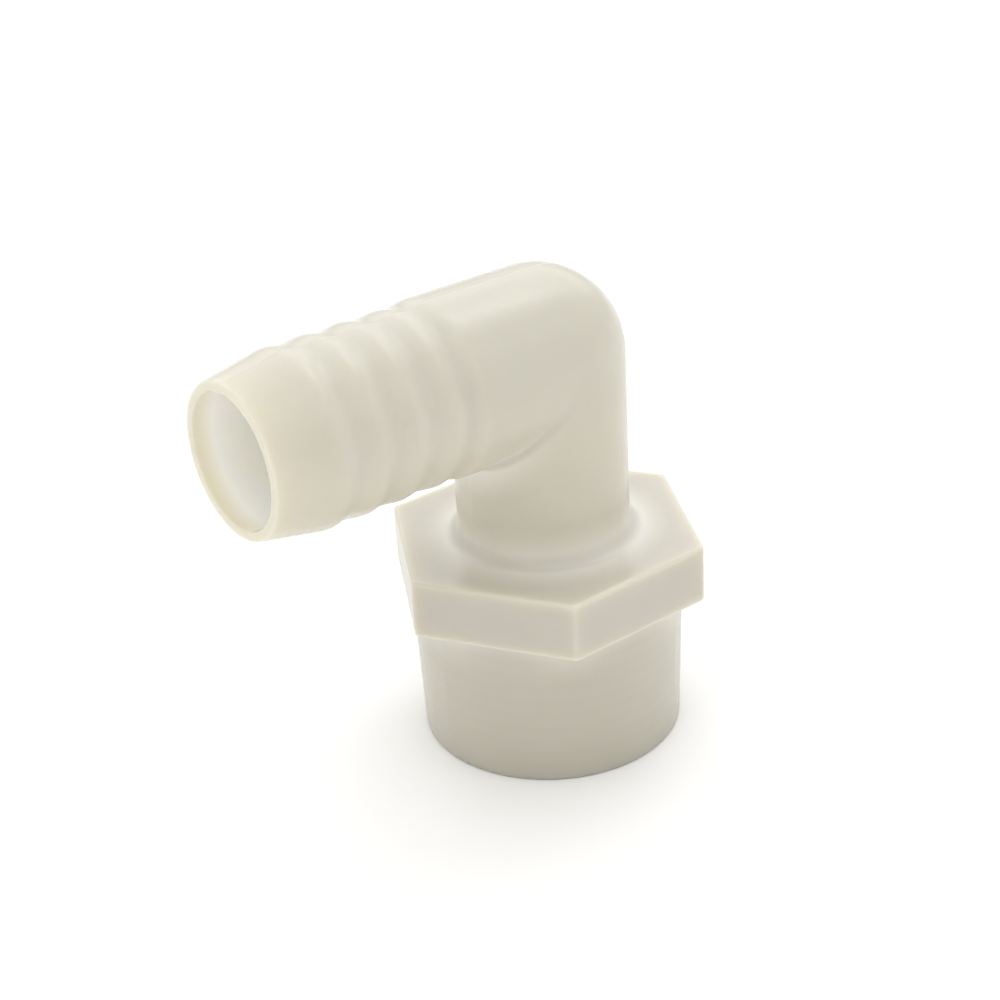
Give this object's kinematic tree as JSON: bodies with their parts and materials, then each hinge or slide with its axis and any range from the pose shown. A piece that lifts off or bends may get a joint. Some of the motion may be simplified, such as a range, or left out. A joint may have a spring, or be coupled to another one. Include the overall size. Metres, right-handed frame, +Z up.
{
  "type": "hose elbow",
  "caption": "Right-angle moulded nylon hose elbow: female threaded socket with spanner hexagon, short stem and ribbed hose tail, for boat plumbing through the hull.",
  "frame": {"origin": "centre of the socket's rim, on the plane that it stands on", "axes": "+Z up the stem, away from the socket's mouth; the hose tail points along -X; Y is square to the plane of the bend"},
  "size_m": [0.0597, 0.034, 0.0579],
  "materials": {
    "natural_nylon": "smooth satin, unpigmented and slightly translucent",
    "washer_rubber": "matte moulded EPDM"
  },
  "bodies": {
    "root": {"elbow_body": "natural_nylon", "sealing_washer": "washer_rubber"}
  },
  "joints": []
}
